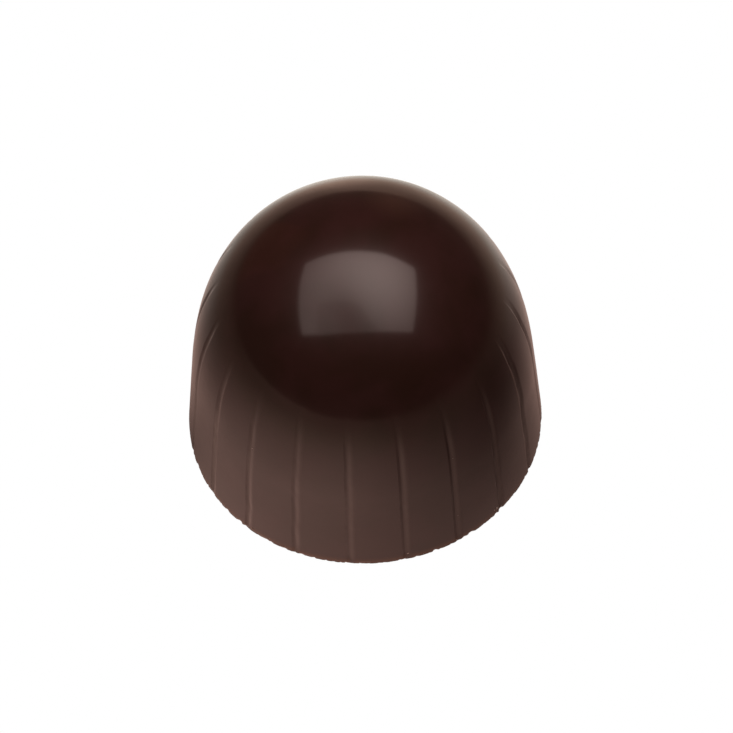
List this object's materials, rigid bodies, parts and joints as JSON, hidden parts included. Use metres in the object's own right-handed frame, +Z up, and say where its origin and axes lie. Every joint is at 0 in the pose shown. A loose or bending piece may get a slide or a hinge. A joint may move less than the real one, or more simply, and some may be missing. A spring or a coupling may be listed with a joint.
{
  "type": "chocolate praline",
  "caption": "Round moulded dark chocolate praline with a smooth domed top, a steep side with fine upright grooves and a flat foot.",
  "frame": {"origin": "centre of the flat foot, on the surface that the praline rests on", "axes": "+Z up through the top of the dome; -Y towards the side that the picture shows, +X to its right"},
  "size_m": [0.028, 0.028, 0.0228],
  "materials": {
    "dark_chocolate": "smooth tempered dark chocolate with a soft gloss, fine grooves and a slightly ragged foot edge"
  },
  "bodies": {
    "root": {"praline": "dark_chocolate"}
  },
  "joints": []
}
